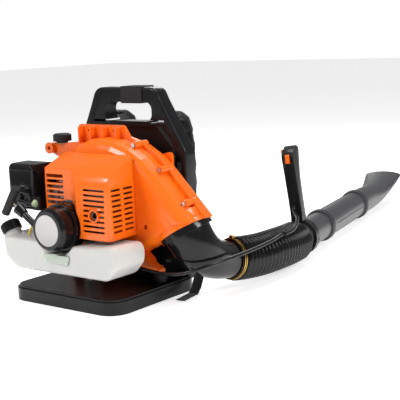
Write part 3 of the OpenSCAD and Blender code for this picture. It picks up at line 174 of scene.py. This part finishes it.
def finish(name, colour, rough, grain=0.0, grain_size=1400, metal=0.0, coat=0.0, edge=0.0008,
        tone=0.06, shine=0.5, sheen=0.0):
    """A finish: colour varies slowly over it by tone, roughness by spread, and grain is the
    strength of its bump. Edges look softened by the radius edge."""
    spread = 0.12
    made = bpy.data.materials.new(name)
    made.use_nodes = True
    tree = made.node_tree
    shader = tree.nodes["Principled BSDF"]
    shader.inputs["Metallic"].default_value = metal
    shader.inputs["Coat Weight"].default_value = coat
    shader.inputs["Coat Roughness"].default_value = 0.1
    shader.inputs["Specular IOR Level"].default_value = shine
    shader.inputs["Sheen Weight"].default_value = sheen
    where = tree.nodes.new("ShaderNodeTexCoord")
    slow = tree.nodes.new("ShaderNodeTexNoise")
    slow.inputs["Scale"].default_value = 22
    slow.inputs["Detail"].default_value = 5
    tree.links.new(where.outputs["Object"], slow.inputs["Vector"])
    shade = tree.nodes.new("ShaderNodeMix")
    shade.data_type = "RGBA"
    shade.inputs[6].default_value = (*[c * (1 - tone) for c in colour], 1)
    shade.inputs[7].default_value = (*[min(1, c * (1 + tone) + 0.002) for c in colour], 1)
    tree.links.new(slow.outputs["Fac"], shade.inputs["Factor"])
    tree.links.new(shade.outputs[2], shader.inputs["Base Color"])
    gloss = tree.nodes.new("ShaderNodeMapRange")
    gloss.inputs["To Min"].default_value = rough * (1 - spread)
    gloss.inputs["To Max"].default_value = rough * (1 + spread)
    tree.links.new(slow.outputs["Fac"], gloss.inputs["Value"])
    tree.links.new(gloss.outputs["Result"], shader.inputs["Roughness"])
    soften = tree.nodes.new("ShaderNodeBevel")
    soften.samples = 4
    soften.inputs["Radius"].default_value = edge
    bump = tree.nodes.new("ShaderNodeBump")
    bump.inputs["Strength"].default_value = grain
    bump.inputs["Distance"].default_value = 0.0003
    fine = tree.nodes.new("ShaderNodeTexNoise")
    fine.inputs["Scale"].default_value = grain_size
    fine.inputs["Detail"].default_value = 2
    tree.links.new(where.outputs["Object"], fine.inputs["Vector"])
    tree.links.new(fine.outputs["Fac"], bump.inputs["Height"])
    tree.links.new(soften.outputs["Normal"], bump.inputs["Normal"])
    tree.links.new(bump.outputs["Normal"], shader.inputs["Normal"])
    return made


def ribbed(line, radius, ripple):
    """Rings of a fine ribbed conduit along the line."""
    count = len(line)
    return [(p, line[min(i + 1, count - 1)] - line[max(i - 1, 0)],
        radius - (ripple if i % 2 else 0)) for i, p in enumerate(line)]


conduit_r, conduit_ripple = 4.5 * MM, 0.45 * MM
conduit = finish("black_conduit", (0.006, 0.006, 0.007), 0.28, grain=0.1, shine=0.3)
cable_near = pipe("throttle_cable_hose_side", ribbed(smooth_line(cable_near_route, 12),
    conduit_r, conduit_ripple), conduit)
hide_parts("throttle_cable_near")
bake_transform(cable_near)
cable_far = pipe("throttle_cable_handle_side", ribbed(smooth_line(cable_far_route, 12),
    conduit_r, conduit_ripple), conduit)
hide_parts("throttle_cable_far")
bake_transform(cable_far)

# ---- Starter rope ---------------------------------------------------------------------------
# Braided nylon, 4 mm thick, wound on the reel inside the starter. Its free end is knotted in
# the pull grip, and it comes out of the guide as the grip is pulled.
grip_at = Vector((-164, -160, 232.4)) * MM
pull_way = Vector((-0.832035, 0, 0.554723))
rope_fibre = finish("braided_rope", (0.55, 0.52, 0.43), 0.85, grain=1.0, grain_size=700,
    sheen=0.3)
rope = pipe("starter_rope_line", [(grip_at - pull_way * (60 - 0.5 * i) * MM, pull_way,
    (2.0 - 0.25 * (i % 2)) * MM) for i in range(109)], rope_fibre)
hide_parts("starter_rope")
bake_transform(rope)

# ---- Back frame -----------------------------------------------------------------------------
# One black polypropylene moulding with a satin face: the base, the back panel and the carrying
# handle, whose middle wears a push-on rubber sleeve.


def give(material, *names):
    """Every slot of these CAD parts gets the material."""
    for name in names:
        for place in nodes[name].material_slots:
            place.material = material


def cad_copy(name, source):
    """A copy of a CAD part, welded into one skin and left in Edit mode with all of it selected."""
    made = nodes[source].copy()
    made.data = nodes[source].data.copy()
    made.name = made.data.name = name
    made.parent = None
    made.matrix_world = Matrix.Identity(4)
    bpy.context.scene.collection.objects.link(made)
    bpy.ops.object.select_all(action="DESELECT")
    made.select_set(True)
    bpy.context.view_layer.objects.active = made
    bpy.ops.object.mode_set(mode="EDIT")
    bpy.ops.mesh.select_all(action="SELECT")
    bpy.ops.mesh.remove_doubles(threshold=0.00002)
    return made


def softened(name, source, material, width, steps, chosen, body):
    """A copy of a CAD part whose chosen edges are really rounded. chosen takes an edge's middle
    and its length, in metres."""
    made = cad_copy(name, source)
    bpy.ops.mesh.dissolve_limited(angle_limit=radians(1))
    bpy.ops.mesh.select_all(action="DESELECT")
    bpy.ops.mesh.select_mode(type="EDGE")
    bpy.ops.mesh.edges_select_sharp(sharpness=radians(32))
    bpy.ops.object.mode_set(mode="OBJECT")
    mesh = made.data
    weight = mesh.attributes.new("bevel_weight_edge", "FLOAT", "EDGE")
    for edge in mesh.edges:
        a, b = (mesh.vertices[v].co for v in edge.vertices)
        weight.data[edge.index].value = float(edge.select and chosen((a + b) / 2, (b - a).length))
    rounding = made.modifiers.new("rounding", "BEVEL")
    rounding.limit_method = "WEIGHT"
    rounding.width = width
    rounding.segments = steps
    rounding.use_clamp_overlap = True
    bpy.ops.object.modifier_apply(modifier=rounding.name)
    bpy.ops.object.shade_smooth_by_angle(angle=radians(35))
    for place in made.material_slots:
        place.material = material
    made.select_set(False)
    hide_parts(source)
    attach(made, body)


satin_black = finish("satin_black_plastic", (0.006, 0.006, 0.007), 0.30, grain=0.22, shine=0.24)
grip_rubber = finish("ribbed_grip_rubber", (0.012, 0.012, 0.012), 0.7, grain=0.8,
    grain_size=900, shine=0.3)


def on_panel_rim(p, length):
    """The outer rim of the back panel, above the base, and not its openings. The panel is as
    wide as the base up to its shoulders, and narrows above them."""
    base_top, handle_top, shoulder = 0.06, 0.475, 0.333
    panel_front, panel_back = 0.0835, 0.1245
    half_width = min(0.155, 0.154 - 0.6 * (p.z - shoulder))
    return p.z > base_top and (p.y < panel_front or p.y > panel_back) and (
        p.z > handle_top or abs(p.x) > half_width)


softened("back_frame_moulding", "back_frame", satin_black, 0.009, 4, on_panel_rim, "frame")


def on_sleeve_corner(p, length):
    """The long corners of the sleeve on the handle."""
    return length > 0.05 and (p.y < 0.0805 or p.y > 0.1275)


softened("grip_sleeve_moulding", "grip_sleeve", grip_rubber, 0.0055, 3, on_sleeve_corner,
    "frame")

# ---- Fan housing ----------------------------------------------------------------------------
# Two orange nylon shells screwed together on a flange, satin from the mould. The front one
# carries the engine, and the rear one hangs from the frame.
orange = finish("orange_plastic", (0.93, 0.150, 0.003), 0.28, grain=0.05, coat=0.15,
    edge=0.0015, tone=0.04, shine=0.4)
give(orange, "volute_front", "volute_rear")

# ---- Mounts, screws and intake --------------------------------------------------------------
# Rubber isolators on steel bolts carry the fan housing. Its screws are zinc plated, and a
# black moulded grille covers the rear intake.
black_rubber = finish("black_rubber", (0.012, 0.012, 0.012), 0.62, grain=0.5, grain_size=900,
    shine=0.3)
zinc = finish("zinc_plated_steel", (0.58, 0.58, 0.57), 0.28, grain=0.08, metal=1.0)
give(black_rubber, "isolators", "bump_stop")
give(zinc, "isolator_bolts", "housing_screws")
give(satin_black, "intake_grille")

# ---- Fan, crankcase and crank train ---------------------------------------------------------
# A glass-filled nylon fan on the tapered end of a forged crankshaft, in a die-cast crankcase.
# The flywheel and the starter cup sit on the other end.
alloy = finish("cast_alloy", (0.42, 0.43, 0.44), 0.48, grain=0.9, grain_size=500, metal=0.9)
give(satin_black, "impeller")
give(zinc, "impeller_nut", "main_bearings", "crankshaft", "starter_cup", "gudgeon_pin")
give(alloy, "crankcase", "flywheel", "piston")

# ---- Cylinder, ignition and muffler ---------------------------------------------------------
# A finned die-cast cylinder with a white ceramic plug under a rubber cap, a potted coil, and
# a pressed steel muffler that heat has darkened.
ceramic = finish("white_glaze", (0.82, 0.81, 0.77), 0.12)
heated_steel = finish("heated_steel", (0.22, 0.20, 0.18), 0.42, grain=0.3, metal=1.0, tone=0.25)
give(alloy, "engine_cylinder")
give(ceramic, "spark_plug")
give(black_rubber, "plug_cap")
give(satin_black, "ignition_coil")
give(heated_steel, "muffler")

# ---- Engine cover ---------------------------------------------------------------------------
# An orange nylon hood with moulded slots and round corners, held by two screws at its top.
cover_low, cover_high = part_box("engine_cover")


def on_cover_skin(p, length):
    """The long outer corners of the hood, and not its slots."""
    return length > 0.008 and (p.z > cover_high.z - 0.040 or p.x > cover_high.x - 0.008
        or p.x < cover_low.x + 0.004 or p.y < cover_low.y + 0.003)


softened("engine_hood", "engine_cover", orange, 0.0035, 3, on_cover_skin, "frame")

# ---- Carburettor and air filter -------------------------------------------------------------
# A die-cast diaphragm carburettor on a phenolic insulator, with a clear rubber primer bulb,
# and a black filter box with a foam element behind its lid.
gloss_black = finish("gloss_black_plastic", (0.005, 0.005, 0.006), 0.17, grain=0.04, shine=0.32)
phenolic = finish("brown_phenolic", (0.085, 0.045, 0.028), 0.5, grain=0.3)
foam = finish("filter_foam", (0.30, 0.26, 0.17), 0.9, grain=1.0, grain_size=260)
primer_rubber = finish("clear_primer_rubber", (0.50, 0.62, 0.36), 0.2)
gold_zinc = finish("yellow_zinc_steel", (0.62, 0.40, 0.12), 0.26, grain=0.08, metal=1.0)
give(alloy, "carburettor")
give(gold_zinc, "throttle_arm")
give(phenolic, "insulator")
give(primer_rubber, "primer_bulb")
give(satin_black, "filter_base", "filter_knob", "choke_lever")
give(foam, "filter_element")
filter_low, filter_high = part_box("filter_cover")
lid_round_zone = 0.012
softened("filter_lid", "filter_cover", gloss_black, 0.004, 3,
    lambda p, length: p.x < filter_low.x + lid_round_zone, "filter_lid")

# ---- Recoil starter -------------------------------------------------------------------------
# A black nylon bell over a rope reel, with a moulded rubber pull grip. A plain pressed
# aluminium badge is glued into its face.
give(gloss_black, "starter_housing")
give(satin_black, "starter_reel")
give(black_rubber, "starter_grip")
badge_metal = finish("badge_metal", (0.50, 0.49, 0.48), 0.34, grain=0.1, metal=0.25)
face_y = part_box("starter_housing")[0].y
badge_thick = 1.6 * MM
bpy.ops.mesh.primitive_cylinder_add(vertices=64, radius=0.036, depth=badge_thick,
    location=(-0.020, face_y - badge_thick / 4, 0.178), rotation=(pi / 2, 0, 0))
badge = bpy.context.active_object
badge.name = "starter_badge"
bpy.ops.object.transform_apply(location=True, rotation=True, scale=True)
bpy.ops.object.mode_set(mode="EDIT")
bpy.ops.mesh.select_all(action="DESELECT")
bpy.ops.object.mode_set(mode="OBJECT")
for side in badge.data.polygons:
    side.select = side.normal.y < -0.9
bpy.ops.object.mode_set(mode="EDIT")
bpy.ops.mesh.select_mode(type="FACE")
bpy.ops.mesh.inset(thickness=0.0012)
bpy.ops.mesh.inset(thickness=0.0014)
bpy.ops.transform.translate(value=(0, 0.0005, 0))
bpy.ops.object.mode_set(mode="OBJECT")
badge.data.materials.append(badge_metal)
bpy.ops.object.shade_smooth_by_angle(angle=radians(30))
badge.select_set(False)
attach(badge, "frame")

# ---- Fuel tank ------------------------------------------------------------------------------
# A blow-moulded tank of milky polyethylene: the walls are thin and every corner is full and
# round. A painted sheet bracket holds it under the starter, and a moulded cap closes its neck.


def reskinned(name, source, step, passes):
    """A copy of a CAD part under one even skin with faces of this step, eased in passes."""
    made = cad_copy(name, source)
    bpy.ops.object.mode_set(mode="OBJECT")
    skin = made.modifiers.new("skin", "REMESH")
    skin.mode = "VOXEL"
    skin.voxel_size = step
    bpy.ops.object.modifier_apply(modifier=skin.name)
    ease = made.modifiers.new("ease", "SMOOTH")
    ease.factor = 0.5
    ease.iterations = passes
    bpy.ops.object.modifier_apply(modifier=ease.name)
    return made


def blown(name, source, material, step, passes, body):
    """A copy of a CAD part with the full round corners of a blow moulding."""
    made = reskinned(name, source, step, passes)
    bpy.ops.object.shade_smooth()
    made.data.materials.clear()
    made.data.materials.append(material)
    made.select_set(False)
    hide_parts(source)
    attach(made, body)


tank_white = finish("tank_polyethylene", (0.60, 0.59, 0.56), 0.34, grain=0.25, edge=0.001,
    tone=0.05)
tank_shader = tank_white.node_tree.nodes["Principled BSDF"]
tank_shader.inputs["Subsurface Weight"].default_value = 0.5
tank_shader.inputs["Subsurface Radius"].default_value = (0.02, 0.018, 0.015)
tank_shader.inputs["Subsurface Scale"].default_value = 1.0
bracket_paint = finish("bracket_paint", (0.42, 0.48, 0.40), 0.35, grain=0.1)
fuel_yellow = finish("fuel_hose_rubber", (0.66, 0.50, 0.07), 0.3)
blown("fuel_tank_moulding", "fuel_tank", tank_white, 0.0022, 14, "frame")
give(satin_black, "fuel_cap")
give(fuel_yellow, "fuel_line")
give(bracket_paint, "tank_bracket")

# ---- Elbow and bellows hose -----------------------------------------------------------------
# A glossy black elbow on the fan housing, then a corrugated polyethylene hose with plain cuffs.
# Doubled yellow zinc wire clamps hold the cuffs.
give(gold_zinc, "hose_clamps")
crest, valley, bore, cuff = 53 * MM, 45.4 * MM, 43.2 * MM, 46.7 * MM
rib_step = 13.8 * MM
hose_black = finish("hose_polyethylene", (0.005, 0.005, 0.006), 0.17, grain=0.08, shine=0.36)


def bent(points, s):
    """The point and the direction at s along a Bezier curve of four points."""
    a, b, c, d = points
    r = 1 - s
    return (a * r ** 3 + b * 3 * r * r * s + c * 3 * r * s * s + d * s ** 3,
        (b - a) * r * r + (c - b) * 2 * r * s + (d - c) * s * s)


def bellows(name, points, length, start, cuff_first, cuff_last):
    """One length of the hose: start is how far along the whole hose it begins."""
    points = [Vector(p) * MM for p in points]
    cuff_long = 15 * MM
    steps = max(12, round(length / rib_step * 10))
    outer = []
    for i in range(steps + 1):
        s = i / steps
        centre, along = bent(points, s)
        wave = (0.5 + 0.5 * cos(2 * pi * (start + s * length) / rib_step)) ** 0.7
        radius = valley + (crest - valley) * wave
        if (cuff_first and s * length < cuff_long) or (
                cuff_last and (1 - s) * length < cuff_long):
            radius = cuff
        outer.append((centre, along, radius))
    inner = [(c, a, bore) for c, a, r in reversed(outer[::4] + outer[-1:])]
    return pipe(name, outer + inner, hose_black, closed=True)


elbow_points = [Vector(p) * MM for p in ((221, 12.5, 165), (251.902, 12.5, 113.57),
    (238.085, 75.9173, 83.0675), (245, 137, 75))]
flange_r, lip_r, elbow_first, elbow_last = 63.5, 62.5, 56.5, 44
mouth_bore, cuff_bore = 52, 38.4
elbow_cuff, cuff_outside, cuff_inside = 30 * MM, 42 * MM, 39 * MM
elbow_end, elbow_way = bent(elbow_points, 1)
elbow_way.normalize()
elbow_steps = [0, 0.035, 0.05] + [0.0505 + 0.9495 * i / 40 for i in range(41)]
elbow_outer = [(*bent(elbow_points, s), (flange_r if 0 < s <= 0.05 else lip_r if s == 0
    else elbow_first + (elbow_last - elbow_first) * s) * MM) for s in elbow_steps]
elbow_outer += [(elbow_end + elbow_way * 0.5 * MM, elbow_way, cuff_outside),
    (elbow_end + elbow_way * elbow_cuff, elbow_way, cuff_outside)]
elbow_inner = [(elbow_end + elbow_way * elbow_cuff, elbow_way, cuff_inside)]
elbow_inner += [(*bent(elbow_points, 1 - i / 12),
    (cuff_bore + (mouth_bore - cuff_bore) * i / 12) * MM) for i in range(13)]
elbow = pipe("elbow_moulding", elbow_outer + elbow_inner, gloss_black, closed=True)
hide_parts("elbow")
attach(elbow, "frame")

near_points = [(245.223, 138.97, 74.74), (250.8, 188.231, 68.234), (259, 235, 65),
    (259, 283, 65)]
far_points = [(259, 297, 65), (259, 345, 65), (245.244, 404.36, 58.92),
    (233.742, 453.019, 58.398)]
near_length, middle_length, far_length = 0.1455, 0.014, 0.1602
hose_near = bellows("hose_near_bellows", near_points, near_length, 0, True, False)
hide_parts("hose_near")
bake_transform(hose_near)
hose_middle = bellows("hose_middle_bellows", [(259, 283, 65), (259, 287.6, 65),
    (259, 292.4, 65), (259, 297, 65)], middle_length, near_length, False, False)
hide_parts("hose_joint_ring")
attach(hose_middle, "hose_middle")
hose_far = bellows("hose_far_bellows", far_points, far_length, near_length + middle_length,
    False, True)
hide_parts("hose_far")
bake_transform(hose_far)

# Two turns of wire clamp the cuff on the first tube.
tube_way = Vector((-0.23005, 0.973179, -0.0104718))
clamp_turn = Vector((0, 0, 1)).rotation_difference(tube_way).to_euler()
for number, back in enumerate((6, 11)):
    place = Vector((233.742, 453.019, 58.398)) * MM - tube_way * back * MM
    bpy.ops.mesh.primitive_torus_add(major_segments=64, minor_segments=10,
        major_radius=cuff + 0.0011, minor_radius=0.0012, location=place, rotation=clamp_turn)
    wire = bpy.context.active_object
    wire.name = "hose_wire_" + str(number + 1)
    bpy.ops.object.transform_apply(location=True, rotation=True, scale=True)
    bpy.ops.object.shade_smooth()
    wire.data.materials.append(gold_zinc)
    wire.select_set(False)
    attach(wire, "tube")

# The clip is a split ring round the cable on a short foot that sits in a valley of the hose.
hose_at_clip = Vector((0.259, 0.290, 0.065))
foot_tilt = radians(46)
foot = Vector((cos(foot_tilt), 0, sin(foot_tilt)))
bpy.ops.mesh.primitive_torus_add(major_segments=28, minor_segments=10, major_radius=0.0062,
    minor_radius=0.0019, location=(0.304, 0.290, 0.112), rotation=(pi / 2, 0, 0))
clip = bpy.context.active_object
bpy.ops.object.transform_apply(location=True, rotation=True, scale=True)
bpy.ops.mesh.primitive_cube_add(size=1, location=tuple(hose_at_clip + foot * 53.5 * MM),
    rotation=(0, -foot_tilt, 0), scale=(0.012, 0.008, 0.006))
clip_foot = bpy.context.active_object
bpy.ops.object.transform_apply(location=True, rotation=True, scale=True)
clip_edge = clip_foot.modifiers.new("edge", "BEVEL")
clip_edge.width = 0.0012
clip_edge.segments = 2
bpy.ops.object.modifier_apply(modifier="edge")
clip.select_set(True)
bpy.context.view_layer.objects.active = clip
bpy.ops.object.join()
clip.name = "cable_clip"
clip.data.materials.clear()
clip.data.materials.append(satin_black)
bpy.ops.object.shade_smooth_by_angle(angle=radians(35))
clip.select_set(False)
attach(clip, "hose_middle")

# ---- Control handle -------------------------------------------------------------------------
# Two black nylon halves clamped round the first tube, with an orange trigger, speed lever and
# stop switch.
handle_foot = Vector((0.225, 0.490, 0.058))
handle_turn = (Matrix.Rotation(radians(13.3), 4, "Z") @ Matrix.Rotation(radians(-0.6), 4, "X")
    @ Matrix.Translation((0, 0.013, 0)) @ Matrix.Rotation(radians(-7), 4, "Y"))


def on_stick_corner(p, length):
    """The long corners of the handle, seen in the handle's own frame, and not its pockets."""
    here = handle_turn.inverted() @ (p - handle_foot)
    return here.z > 0.055 and abs(abs(here.x) - 0.0160) < 0.0012 and (
        abs(here.y) > 0.012 or here.z > 0.24)


softened("control_grip", "control_handle", satin_black, 0.0075, 4, on_stick_corner, "tube")
give(orange, "stop_switch", "cruise_lever", "throttle_trigger")

# ---- Blower tubes and nozzle ----------------------------------------------------------------
# Grey polypropylene tubes with a satin face and a raised collar at each joint, which push and
# turn onto each other, and a flattened nozzle.
tube_grey = finish("grey_tube_plastic", (0.052, 0.053, 0.056), 0.36, grain=0.15, tone=0.12,
    shine=0.45)
give(tube_grey, "swivel_tube", "straight_tube", "nozzle")

# ---- Cushion and straps ---------------------------------------------------------------------
# A foam back cushion and two padded shoulder straps in black mesh cloth, sewn with channels.
# Webbing and moulded adjusters join the straps to the base.


def woven(name, colour, pitch):
    """A matt black cloth with a fine over-and-under weave and a soft sheen."""
    made = finish(name, colour, 0.85, grain=0.4, grain_size=1200, tone=0.18, shine=0.2,
        sheen=0.35)
    tree = made.node_tree
    bump = [n for n in tree.nodes if n.type == "BUMP"][0]
    where = [n for n in tree.nodes if n.type == "TEX_COORD"][0]
    threads = []
    for way in ("X", "Z"):
        wave = tree.nodes.new("ShaderNodeTexWave")
        wave.bands_direction = way
        wave.inputs["Scale"].default_value = 0.314 / pitch
        tree.links.new(where.outputs["Object"], wave.inputs["Vector"])
        threads.append(wave)
    both = tree.nodes.new("ShaderNodeMath")
    both.operation = "MULTIPLY"
    tree.links.new(threads[0].outputs["Fac"], both.inputs[0])
    tree.links.new(threads[1].outputs["Fac"], both.inputs[1])
    tree.links.new(both.outputs["Value"], bump.inputs["Height"])
    bump.inputs["Distance"].default_value = 0.0006
    return made


cloth = woven("black_mesh_cloth", (0.018, 0.018, 0.020), 0.0022)
webbing_cloth = woven("black_webbing", (0.014, 0.014, 0.015), 0.0014)


def stuffed(name, source, seams, cap, body):
    """A padded piece in the place of a CAD solid: a cover that air fills by cap at most, then
    pulled in along seams. A seam is a height, in metres."""
    seam_reach, seam_depth = 6 * MM, 3.5 * MM
    last_step = 20
    made = reskinned(name, source, 4.5 * MM, 6)
    before = [v.co.copy() for v in made.data.vertices]
    fill = made.modifiers.new("fill", "CLOTH")
    fill.settings.quality = 5
    fill.settings.mass = 0.3
    fill.settings.use_pressure = True
    fill.settings.uniform_pressure_force = 4
    fill.settings.effector_weights.gravity = 0
    fill.collision_settings.use_collision = False
    fill.point_cache.frame_start = 1
    fill.point_cache.frame_end = last_step
    for step in range(1, last_step + 1):
        bpy.context.scene.frame_set(step)
    settled = made.evaluated_get(bpy.context.evaluated_depsgraph_get()).data
    after = [v.co.copy() for v in settled.vertices]
    made.modifiers.remove(fill)
    bpy.context.scene.frame_set(1)
    for vertex, old, new in zip(made.data.vertices, before, after):
        move = new - old
        if move.length > cap:
            move = move.normalized() * cap
        vertex.co = old + move
    for vertex in made.data.vertices:
        for seam in seams:
            away = abs(vertex.co.z - seam) / seam_reach
            if away < 1:
                vertex.co -= vertex.normal * seam_depth * (1 - away) ** 0.5
    finer = made.modifiers.new("finer", "SUBSURF")
    finer.levels = finer.render_levels = 1
    bpy.ops.object.modifier_apply(modifier="finer")
    bpy.ops.object.shade_smooth()
    made.data.materials.clear()
    made.data.materials.append(cloth)
    made.select_set(False)
    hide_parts(source)
    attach(made, body)


stuffed("back_cushion_pad", "back_cushion", (0.165, 0.235, 0.305), 0.006, "frame")
for side in ("left", "right"):
    stuffed("shoulder_strap_" + side + "_pad", "shoulder_strap_" + side,
        (0.215, 0.265, 0.315, 0.365), 0.003, "frame")
give(webbing_cloth, "strap_webbing")
give(satin_black, "strap_adjusters")
